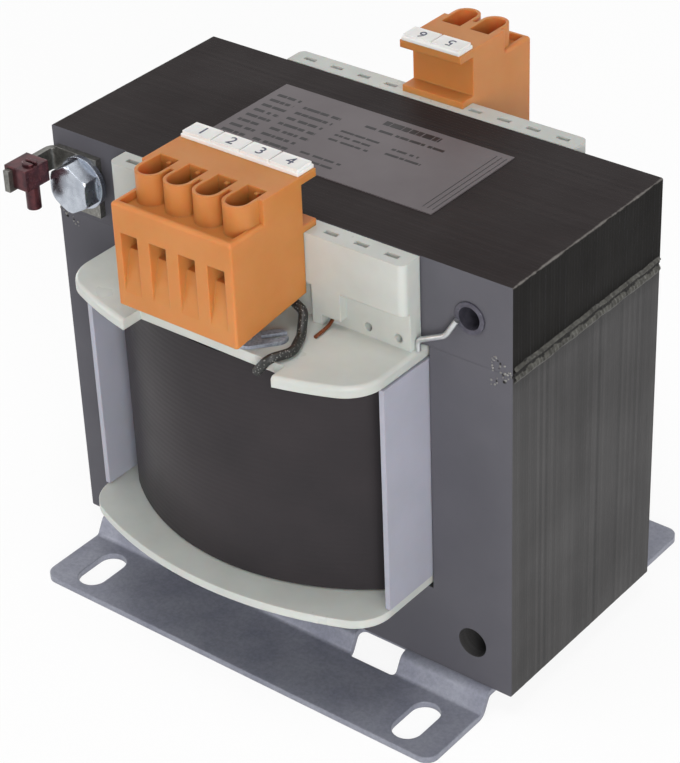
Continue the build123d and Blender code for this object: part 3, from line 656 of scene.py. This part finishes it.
@dataclass
class LaminatedCore:
    """The E and I stacks, sheet by sheet, each a hair out of line with the next.

    Attributes:
        sheet: Spacing of the sheets; two real ones are modelled as one.
        slip: How far a sheet lies out of line.
        hole_inset: Distance of the corner holes from both edges.
        leg: Width of the yoke below the windows.
        window_middle: Distance of a window's middle from the core's.
    """

    sheet: float = 1.0 * MM
    gap: float = 0.015 * MM
    slip: float = 0.012 * MM
    corner: float = 0.35 * MM
    hole_sides: int = 28
    hole_radius: float = 3.5 * MM
    hole_inset: float = 10 * MM
    leg: float = 20 * MM
    window_middle: float = 30 * MM
    window_half: float = 10 * MM
    rng: random.Random = field(default_factory=lambda: random.Random(53))

    def plate(self, name: str, node: str, hole_z: float, windows: Sequence[tuple]) -> Piece:
        """Model one sheet at the front of the stack.

        Args:
            name: Name of the sheet.
            node: The CAD stack that it belongs to.
            hole_z: Level of its two holes.
            windows: Left, right, bottom and top of each of its windows.

        Returns:
            The sheet.
        """
        low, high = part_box(node)
        plate = box(name, low, (high.x, low.y + self.sheet - self.gap, high.z))
        through = 4 * self.sheet
        tools = [rod("hole", (side * (high.x - self.hole_inset), low.y, hole_z), (0, 1, 0), self.hole_radius,
                     through, self.hole_sides) for side in (-1, 1)]
        tools += [box("window", (left, low.y - through, bottom), (right, low.y + through, top))
                  for left, right, bottom, top in windows]
        cut(plate, tools)
        end, thick = high.x, self.sheet / 2
        bevel_edges(plate, lambda e: abs(abs(middle_of(e).x) - end) < self.gap
                    and abs(e.verts[0].co.y - e.verts[1].co.y) > thick, self.corner)
        return plate

    def stack(self, name: str, plate: Piece, count: int) -> Piece:
        """Copy a sheet through the stack, with small slips, and join the copies."""
        sheets = []
        for i in range(count):
            slip_x, slip_z = (self.rng.uniform(-self.slip, self.slip) for _ in range(2))
            sheet = plate.copy()
            sheet.data = plate.data.copy()
            sheet.data.transform(Matrix.Translation((slip_x, i * self.sheet, slip_z)))
            bpy.context.scene.collection.objects.link(sheet)
            sheets.append(sheet)
        bpy.data.objects.remove(plate)
        return join(name, sheets)

    def dress(self, piece: Piece, top: Finishes, end: Finishes) -> None:
        """Give sheet faces and cut edges their own finishes, by the way they face.

        Args:
            piece: The stack.
            top: Finish of the cut edges that face up or down.
            end: Finish of the other cut edges.
        """
        piece.data.materials.clear()
        for finish in (Finishes.SHEET_FACE, top, end):
            piece.data.materials.append(finish.material())
        for face in piece.data.polygons:
            # The closing bar's cut edges that face along X take the end finish, whose darker tone is painted
            # shade
            flat = 1 if abs(face.normal.z) > FACING else 2
            face.material_index = 0 if abs(face.normal.y) > FACING else flat

    def build(self) -> None:
        """Build both stacks in place of the plain ones."""
        low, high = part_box("e_core_stack")
        bar_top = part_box("i_core_stack")[1].z
        count = round((high.y - low.y) / self.sheet)
        middles = (-self.window_middle, self.window_middle)
        windows = [(x - self.window_half, x + self.window_half, low.z + self.leg, high.z + self.leg)
                   for x in middles]
        edge = Finishes.SHEET_EDGE
        for name, node, hole_z, cuts, top, end in (
            ("laminated_e_stack", "e_core_stack", low.z + self.hole_inset, windows, edge, edge),
            # The bar's end finish is a darker copy of its top's: painted shade above the weld
            ("laminated_i_stack", "i_core_stack", bar_top - self.hole_inset, [], Finishes.BAR_TOP,
             Finishes.BAR_END),
        ):
            piece = self.stack(name, self.plate(f"{name}_sheet", node, hole_z, cuts), count)
            self.dress(piece, top, end)
            seat(piece, "core_laminations", node)


@dataclass
class WeldBead:
    """A weld across the stack: two rippled ridges, a pitted crease and spatter at its start.

    Attributes:
        side: -1 for the left end of the core, 1 for the right.
        upper: Middle and width of the upper ridge, from -1 to 1 across the bead.
        lower: The same for the lower ridge.
        shoulder: How steeply the bead rises from its rim; 1 is round and less is steeper.
        crease: Half the mean width of the dark crease, on the same scale.
        pits: Height, rate and start of each wave that widens the crease.
        bow: How many ripples the edges of the bead lag by.
        swing: Mean height, height of the ripples and chance height, as shares of the rise.
        edge_swing: Regular and chance change of the width, as shares of it.
        edge_ripples: Ripples from one wide place to the next.
        sway: How far the bead wanders, as a share of its width, over sway_ripples.
        sink: How far its rim lies inside the core, where it is as thick as its root.
        drop_gather: How strongly the spatter gathers at the bead; 1 is evenly.
        drop_spread: Half its spread in height, as a share of its rise and flight.
    """

    node: str
    side: int
    steps_along: int = 200
    steps_across: int = 22
    ripple: float = 1.1 * MM
    upper: Span = (0.66, 0.2)
    lower: Span = (-0.34, 0.36)
    shoulder: float = 0.4
    crease: float = 0.22
    crease_middle: float = 0.26
    pits: tuple[Point, ...] = ((0.3, 0.9, 0.0), (0.25, 2.3, 1.0))
    shaded_rim: float = 0.95
    bow: float = 0.9
    swing: Point = (0.84, 0.1, 0.06)
    edge_swing: Span = (0.05, 0.03)
    edge_ripples: float = 7
    sway: float = 0.02
    sway_ripples: float = 11
    core_x: float = 60 * MM
    sink: float = 0.05 * MM
    root: float = 0.3 * MM
    drops: int = 40
    drop_radius_mm: Span = (0.12, 0.3)
    drop_reach: float = 5.0 * MM
    drop_gather: float = 1.6
    drop_spread: float = 0.7
    drop_rise: float = 1.2 * MM
    drop_inset: float = 0.3 * MM
    drop_squash: float = 0.6
    bright_share: float = 0.6
    rng: random.Random = field(default_factory=lambda: random.Random(7))

    def lift(self, across: float) -> float:
        """Return the weld's height from 0 to 1, by the way across it from -1 to 1."""
        ridges = sum(math.exp(-(((across - middle) / width) ** 2))
                     for middle, width in (self.upper, self.lower))
        foot = math.sqrt(max(0.0, 1 - across ** 2))
        return min(1.0, ridges) * foot ** self.shoulder

    def bead(self, low: Vector, high: Vector) -> Piece:
        """Shape a grid into the bead.

        Args:
            low: Lowest corner of the plain bead.
            high: Highest corner of the plain bead.

        Returns:
            The bead, with its crease, pits and rim in the dark finish of painted shade.
        """
        middle = (low + high) / 2
        length, width, rise = high.y - low.y, high.z - low.z, high.x - low.x
        bpy.ops.mesh.primitive_grid_add(x_subdivisions=self.steps_along, y_subdivisions=self.steps_across,
                                        size=1)
        bead = start(self.node.replace("weld_bead", "weld_run"))
        wander = [self.rng.uniform(-1, 1) for _ in range(self.steps_along + 1)]
        mean, ripples, chance = self.swing
        regular, uneven = self.edge_swing
        for vertex in bead.data.vertices:
            along_y, across = vertex.co.x, 2 * vertex.co.y
            index = int((along_y + 0.5) * self.steps_along)
            phase = 2 * math.pi * (along_y * length / self.ripple + self.bow * across ** 2)
            beat = mean + ripples * math.sin(phase) + chance * wander[index]
            edge = 1 + regular * math.sin(phase / self.edge_ripples) + uneven * wander[-index - 1]
            sway = self.sway * width * math.sin(phase / self.sway_ripples)
            vertex.co = (self.side * (self.core_x - self.sink + rise * self.lift(across) * beat),
                         middle.y + along_y * length, middle.z + across * width / 2 * edge + sway)
        bead.data.materials.append(Finishes.WELD.material())
        bead.data.materials.append(Finishes.SLAG.material())
        # Painted shade: faces in the crease and its pits, and at the rim where the bead meets the core, take
        # the dark slag finish.
        for face in bead.data.polygons:
            across = (face.center.z - middle.z) / (width / 2)
            way = (face.center.y - low.y) / self.ripple
            wave = sum(height * math.sin(rate * way + lead) for height, rate, lead in self.pits)
            pit = self.crease * (1 + wave)
            face.material_index = int(abs(across - self.crease_middle) < pit or abs(across) > self.shaded_rim)
        take(bead)
        bpy.ops.object.mode_set(mode="EDIT")
        bpy.ops.mesh.select_all(action="SELECT")
        bpy.ops.mesh.extrude_region_move(TRANSFORM_OT_translate={"value": (-self.side * self.root, 0, 0)})
        bpy.ops.mesh.select_all(action="SELECT")
        bpy.ops.mesh.normals_make_consistent(inside=False)
        bpy.ops.object.mode_set(mode="OBJECT")
        smooth(bead, 60)
        return bead

    def spatter(self, low: Vector, high: Vector) -> Piece:
        """Scatter small drops of weld on the front sheet beside the start of the bead."""
        drops = []
        middle = (low.z + high.z) / 2
        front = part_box("e_core_stack")[0].y
        for _ in range(self.drops):
            away = self.drop_reach * self.rng.random() ** self.drop_gather
            level = middle + self.rng.uniform(-self.drop_spread, self.drop_spread) * (self.drop_rise + away)
            radius = self.rng.uniform(*self.drop_radius_mm) * MM
            place = (self.side * (self.core_x - self.drop_inset - away), front, level)
            bpy.ops.mesh.primitive_ico_sphere_add(subdivisions=2, radius=radius, location=place,
                                                  scale=(1, self.drop_squash, 1))
            drop = start("drop")
            paint(drop, Finishes.SPATTER if self.rng.random() < self.bright_share else Finishes.SLAG)
            drops.append(drop)
        spatter = join(self.node.replace("weld_bead", "weld_spatter"), drops)
        smooth(spatter, 60)
        return spatter

    def build(self) -> None:
        """Build the bead in place of the plain one, with its spatter."""
        low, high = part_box(self.node)
        seat(self.bead(low, high), "weld_steel", self.node)
        seat(self.spatter(low, high), "weld_steel")


@dataclass
class RatingLabel:
    """Generic rules and dashes printed on the foil label, in blocks as on a rating plate.

    Attributes:
        blocks: Each block's left end, right end, rear edge and front edge, as shares of the
            label, with its number of rows and the height of its print as a share of a row.
        rules: Places of the upright rules, as shares of the label's width.
        row_end: Shortest and longest row, as shares of the block's right end.
        dash_mm: Shortest and longest dash.
        space_mm: The spaces between dashes.
    """

    margin: float = 1.6 * MM
    ink: float = 0.03 * MM
    blocks: tuple = (
        (0.03, 0.14, 0.16, 0.90, 8, 0.36),
        (0.17, 0.34, 0.22, 0.90, 7, 0.34),
        (0.39, 0.58, 0.36, 0.58, 3, 0.32),
        (0.48, 0.74, 0.06, 0.13, 1, 0.9),
        (0.44, 0.80, 0.20, 0.25, 1, 0.6),
        (0.62, 0.78, 0.38, 0.54, 2, 0.32),
        (0.37, 0.55, 0.78, 0.94, 2, 0.3),
    )
    rules: tuple[float, ...] = (0.945, 0.965, 0.985)
    rule_width: float = 0.18 * MM
    row_end: Span = (0.93, 1.0)
    dash_mm: Span = (0.8, 3.6)
    space_mm: tuple[float, ...] = (0.25, 0.35, 0.9)
    rng: random.Random = field(default_factory=lambda: random.Random(11))

    def block(self, low: Vector, high: Vector, shares: tuple) -> list[Piece]:
        """Print one block of rows.

        Args:
            low: Lowest corner of the label.
            high: Highest corner of the label.
            shares: The block, as the class says.

        Returns:
            Its dashes.
        """
        left_share, right_share, rear, front, rows, weight = shares
        wide, deep = high.x - low.x, high.y - low.y
        pitch = (front - rear) * deep / rows
        dashes = []
        for row in range(rows):
            left = low.x + left_share * wide
            end = low.x + right_share * wide * self.rng.uniform(*self.row_end)
            level = high.y - rear * deep - (row + weight) * pitch
            while left < end:
                width = min(self.rng.uniform(*self.dash_mm) * MM, end - left)
                dashes.append(box("dash", (left, level, high.z - self.ink),
                                  (left + width, level + weight * pitch, high.z + self.ink)))
                left += width + self.rng.choice(self.space_mm) * MM
        return dashes

    def build(self) -> None:
        """Print the blocks and the rules at the right end as one thin piece."""
        low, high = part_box("rating_label")
        printed = []
        for shares in self.blocks:
            printed += self.block(low, high, shares)
        for share in self.rules:
            left = low.x + share * (high.x - low.x)
            printed.append(box("dash", (left, low.y + self.margin, high.z - self.ink),
                               (left + self.rule_width, high.y - self.margin, high.z + self.ink)))
        label = join("label_print", printed)
        paint(label, Finishes.INK)
        seat(label, "label_foil")


@dataclass
class EarthBolt:
    """The hexagon bolt of the earth terminal, chamfered round its head as when turned."""

    across_flats: float = 10.0 * MM
    head: float = 4.2 * MM
    shank: float = 6.0 * MM
    chamfer: float = 0.9 * MM
    tip_chamfer: float = 0.5 * MM
    round_sides: int = 72

    def build(self) -> None:
        """Cut the head from a hexagon and a chamfered disc and put it on its shank."""
        low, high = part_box("earth_bolt")
        x, z = (low.x + high.x) / 2, (low.z + high.z) / 2
        middle = (x, low.y + self.head / 2, z)
        corner = self.across_flats / math.sqrt(3)
        bpy.ops.mesh.primitive_cylinder_add(vertices=6, radius=corner, depth=self.head, location=middle,
                                            rotation=(math.pi / 2, 0, 0))
        bolt = start("earth_bolt_head")
        disc = rod("disc", middle, (0, 1, 0), corner, self.head, self.round_sides)
        front = low.y
        bevel_edges(disc, lambda e: abs(middle_of(e).y - front) < NEAR, self.chamfer, 3)
        cut(bolt, [disc], "INTERSECT")
        back = low.y + self.head
        shank = rod("shank", (x, (back + high.y) / 2, z), (0, 1, 0), self.shank / 2, high.y - back)
        bevel_edges(shank, lambda e: middle_of(e).y > high.y - NEAR, self.tip_chamfer)
        bolt = join("earth_bolt_head", [bolt, shank])
        smooth(bolt, 30)
        paint(bolt, Finishes.ZINC)
        seat(bolt, "zinc_steel", "earth_bolt")


@dataclass
class WindingEnd:
    """The end of the winding's wire, which comes out under the guide and lies on the flange."""

    radius: float = 0.4 * MM
    path_mm: tuple[Point, ...] = (
        (19.2, -30.5, 87.2), (19.4, -31.6, 86.5), (19.5, -33.8, 86.12), (19.7, -37.0, 86.12))

    def build(self) -> None:
        """Bend the wire along its path and make it a mesh."""
        bpy.ops.curve.primitive_nurbs_path_add()
        wire = bpy.context.active_object
        wire.data.splines.remove(wire.data.splines[0])
        spline = wire.data.splines.new("NURBS")
        spline.points.add(len(self.path_mm) - 1)
        for point, place in zip(spline.points, self.path_mm):
            point.co = (*[v * MM for v in place], 1.0)
        spline.order_u, spline.use_endpoint_u = 3, True
        wire.data.bevel_depth, wire.data.bevel_resolution, wire.data.use_fill_caps = self.radius, 3, True
        take(wire)
        bpy.ops.object.convert(target="MESH")
        wire = start("winding_end")
        smooth(wire, 50)
        paint(wire, Finishes.COPPER)
        seat(wire, "winding_copper")


@dataclass
class MarkerStrip:
    """The white strip behind a block's chimneys: one numbered tile at each pole on a thin carrier.

    Attributes:
        node: The plain strip.
        poles: How many tiles it has.
        first: Number of the first pole.
        facing: -1 where the numbers read from the front, 1 from the rear.
        height: Height of a digit, which is the share cap of the font's size.
        rim: How far the tiles lie inside the carrier's edge, and how deep in it.
        deck: Height of the carrier, as a share of the strip's.
        dish: How far a tile's face is sunk inside dish_rim.
    """

    node: str
    poles: int
    first: int
    facing: int
    height: float = 2.7 * MM
    pitch: float = 7.5 * MM
    groove: float = 0.35 * MM
    rim: float = 0.25 * MM
    cap: float = 0.7
    ink: float = 0.03 * MM
    deck: float = 0.55
    dish_rim: float = 0.5 * MM
    dish: float = 0.15 * MM
    rounding: float = 0.12 * MM

    def number(self, text: str, middle: Vector) -> Piece:
        """Print a pole's number on its tile.

        Args:
            text: The number.
            middle: Middle of the tile's face.

        Returns:
            The number as a thin mesh.
        """
        bpy.ops.object.text_add()
        letter = bpy.context.active_object
        letter.data.body, letter.data.size = text, self.height / self.cap
        letter.data.align_x, letter.data.align_y = "CENTER", "CENTER"
        letter.data.extrude = self.ink
        bpy.ops.object.convert(target="MESH")
        number = start("number")
        turn = Matrix.Rotation(math.pi if self.facing > 0 else 0.0, 4, "Z")
        number.data.transform(Matrix.Translation(middle) @ turn)
        return number

    def build(self) -> None:
        """Build the carrier and its tiles in place of the plain strip."""
        low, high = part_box(self.node)
        middle = (low.x + high.x) / 2
        deck = low.z + self.deck * (high.z - low.z)
        pieces = [box("carrier", low, (high.x, high.y, deck))]
        numbers = []
        for i in range(self.poles):
            centre = middle + (i - (self.poles - 1) / 2) * self.pitch
            half = (self.pitch - self.groove) / 2
            tile = box("tile", (max(low.x, centre - half), low.y + self.rim, deck - self.rim),
                       (min(high.x, centre + half), high.y - self.rim, high.z))
            top = high.z
            edit(tile, "FACE", lambda f: f.normal.z > FACING and middle_of(f).z > top - self.rim,
                 lambda: bpy.ops.mesh.inset(thickness=self.dish_rim, depth=-self.dish))
            pieces.append(tile)
            order = i if self.facing < 0 else self.poles - 1 - i
            face = Vector((centre, (low.y + high.y) / 2, top - self.rim / 2))
            numbers.append(self.number(str(self.first + order), face))
        strip = join(self.node.replace("marker_strip", "marker_tiles"), pieces)
        bevel_edges(strip, lambda e: e.calc_face_angle(0) > SHARP, self.rounding)
        paint(strip, Finishes.MARKER)
        seat(strip, "marker_white", self.node)
        print_on = join(self.node.replace("marker_strip", "pole_numbers"), numbers)
        paint(print_on, Finishes.NUMBER_INK)
        seat(print_on, "marker_white")


@dataclass
class CarriedNodes:
    """The CAD nodes, each with its finish, also where a finer piece replaces it."""

    groups: tuple[tuple[Finishes, tuple[str, ...]], ...] = (
        (Finishes.SHEET_EDGE, ("e_core_stack", "i_core_stack")),
        (Finishes.WELD, ("weld_bead_left", "weld_bead_right")),
        (Finishes.FOOT, ("foot_bracket_front", "foot_bracket_rear")),
        (Finishes.BOBBIN, ("coil_bobbin",)),
        (Finishes.COPPER, ("primary_winding", "secondary_winding")),
        (Finishes.FILM, ("interwinding_insulation",)),
        (Finishes.WRAP, ("outer_wrap",)),
        (Finishes.LINER, ("window_liner_left", "window_liner_right")),
        (Finishes.ORANGE, ("front_terminal_housing", "rear_terminal_housing")),
        (Finishes.ZINC, ("front_clamp_cages", "front_clamp_screws", "rear_clamp_cages", "rear_clamp_screws",
                         "earth_washer", "earth_bolt", "earth_nut")),
        (Finishes.TIN, ("front_terminal_pins", "rear_terminal_pins", "screen_wire")),
        (Finishes.MARKER, ("front_marker_strip", "rear_marker_strip")),
        (Finishes.LABEL, ("rating_label",)),
        (Finishes.DULL_ZINC, ("earth_plate",)),
        (Finishes.MAROON, ("earth_clamp", "earth_clamp_screw")),
        (Finishes.EYELET, ("screen_eyelet",)),
        (Finishes.SLEEVE, ("front_lead_sleeve",)),
        (Finishes.TAG, ("front_solder_tag",)),
    )

    def dress(self, nodes: dict[str, Piece]) -> None:
        """Give every CAD node its finish.

        Args:
            nodes: The CAD nodes by name.
        """
        finishes = {name: finish for finish, names in self.groups for name in names}
        for name, piece in nodes.items():
            paint(piece, finishes[name])
            LOG.info("%s: %s", name, finishes[name].name.lower())


@dataclass(frozen=True)
class Lamp:
    """A square soft lamp that faces the object.

    Attributes:
        place: Where it hangs.
        size: Its width.
        watts: Its power.
    """

    name: str
    place: Point
    size: float
    watts: float


@dataclass
class Studio:
    """A pale floor, soft lamps and the camera at the photograph's angle.

    Attributes:
        azimuth: Angle of the view round Z from -Y, in degrees.
        aim: The point that the angles and the distance are taken from.
        slide_right: How far the camera then slides to its right.
        floor_glow: Share of the floor's look that is plain white; the rest takes shadow.
        sky_low: Strength of the light from the walls.
        sky_turn: Height of the direction from which on the light is sky_high.
    """

    frame_px: tuple[int, int] = (680, 763)
    focal_px: float = 2485.0
    azimuth: float = 39.46
    elevation: float = 32.95
    roll: float = -2.38
    distance: float = 544.05 * MM
    aim: Point = (0.0, 0.0, 55.9 * MM)
    slide_right: float = -3.53 * MM
    slide_up: float = -6.17 * MM
    sensor: float = 36.0
    clip: Span = (0.01, 20.0)
    floor_size: float = 8.0
    white: str = "#FFFFFF"
    floor_glow: float = 0.9
    sky_high: float = 0.3
    sky_low: float = 0.45
    sky_turn: float = 0.8
    lamps: tuple[Lamp, ...] = (
        Lamp("key_lamp", (0.88, -0.88, 0.42), 0.6, 10.5),
        Lamp("left_lamp", (-0.95, -0.8, 0.4), 0.6, 2.4),
        Lamp("top_lamp", (0.05, -0.2, 1.4), 0.7, 6.8),
        Lamp("rear_lamp", (0.35, 1.3, 0.12), 0.5, 4.0),
        Lamp("far_left_lamp", (-1.3, 0.35, 0.12), 0.5, 3.0),
    )

    def camera(self) -> None:
        """Place the camera from its angles, distance and slides."""
        a, e, r = (math.radians(v) for v in (self.azimuth, self.elevation, self.roll))
        back = Vector((math.sin(a) * math.cos(e), -math.cos(a) * math.cos(e), math.sin(e)))
        level = Vector((math.cos(a), math.sin(a), 0))
        upright = back.cross(level)
        right = math.cos(r) * level + math.sin(r) * upright
        up = -math.sin(r) * level + math.cos(r) * upright
        lens = bpy.data.cameras.new("camera")
        lens.sensor_width = self.sensor
        lens.lens = self.focal_px / max(self.frame_px) * self.sensor
        lens.clip_start, lens.clip_end = self.clip
        camera = bpy.data.objects.new("camera", lens)
        place = Vector(self.aim) + back * self.distance + right * self.slide_right + up * self.slide_up
        turn = Matrix((right, up, back)).transposed().to_4x4()
        camera.matrix_world = Matrix.Translation(place) @ turn
        bpy.context.scene.collection.objects.link(camera)
        bpy.context.scene.camera = camera

    def seen(self, tree: Tree) -> Socket:
        """Return 1 for rays from the camera, from gloss and through glass."""
        path = add_node(tree, "LightPath")
        shown = path.outputs["Is Camera Ray"]
        for ray in ("Is Transmission Ray", "Is Glossy Ray"):
            largest = add_node(tree, "Math", {"operation": "MAXIMUM"}, {0: shown, 1: path.outputs[ray]})
            shown = largest.outputs["Value"]
        return shown

    def world(self) -> None:
        """Light the object from all round, more from the walls than from the ceiling, and show white."""
        world = bpy.data.worlds.new("studio")
        world.use_nodes = True
        bpy.context.scene.world = world
        tree = world.node_tree
        tree.nodes.clear()
        coords = add_node(tree, "TexCoord")
        split = add_node(tree, "SeparateXYZ", None, {"Vector": coords.outputs["Generated"]})
        strength = add_node(tree, "MapRange",
                            {"From Min": 0.0, "From Max": self.sky_turn, "To Min": self.sky_low,
                             "To Max": self.sky_high}, {"Value": split.outputs["Z"]})
        shown = add_node(tree, "Mix", {"data_type": "FLOAT", "B": 1.0},
                         {"Factor": self.seen(tree), "A": strength})
        light = add_node(tree, "Background", {"Color": linear(self.white)}, {"Strength": shown})
        add_node(tree, "OutputWorld", None, {"Surface": light})

    def floor(self) -> None:
        """Lay a pale floor that keeps the object's shadow."""
        bpy.ops.mesh.primitive_plane_add(size=self.floor_size)
        floor = start("floor")
        material = bpy.data.materials.new("pale_floor")
        material.use_nodes = True
        tree = material.node_tree
        tree.nodes.clear()
        share = add_node(tree, "Math", {"operation": "MULTIPLY", 1: self.floor_glow}, {0: self.seen(tree)})
        matt = add_node(tree, "BsdfDiffuse", {"Color": linear(self.white)})
        glow = add_node(tree, "Emission", {"Color": linear(self.white), "Strength": 1.0})
        mix = add_node(tree, "MixShader", None, {0: share, 1: matt, 2: glow})
        add_node(tree, "OutputMaterial", None, {"Surface": mix})
        floor.data.materials.append(material)

    def hang(self, lamp: Lamp) -> None:
        """Hang one lamp and turn it to the object."""
        light = bpy.data.lights.new(lamp.name, "AREA")
        light.size, light.energy = lamp.size, lamp.watts
        hung = bpy.data.objects.new(lamp.name, light)
        hung.location = lamp.place
        hung.rotation_euler = (Vector(lamp.place) - Vector(self.aim)).to_track_quat("Z", "Y").to_euler()
        bpy.context.scene.collection.objects.link(hung)

    def build(self) -> None:
        """Set up the camera, world, floor and lamps."""
        self.camera()
        self.world()
        self.floor()
        for lamp in self.lamps:
            self.hang(lamp)
        bpy.context.scene.view_settings.view_transform = "Standard"


def main() -> None:
    """Build the transformer's looks and the studio round it."""
    logging.basicConfig(level=logging.INFO, format="%(name)s: %(message)s")
    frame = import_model()
    Studio().build()
    CarriedNodes().dress(frame["nodes"])
    LaminatedCore().build()
    WeldBead("weld_bead_left", -1).build()
    WeldBead("weld_bead_right", 1).build()
    RatingLabel().build()
    EarthBolt().build()
    WindingEnd().build()
    MarkerStrip("front_marker_strip", 4, 1, -1).build()
    MarkerStrip("rear_marker_strip", 2, 5, 1).build()


if __name__ == "__main__":
    main()
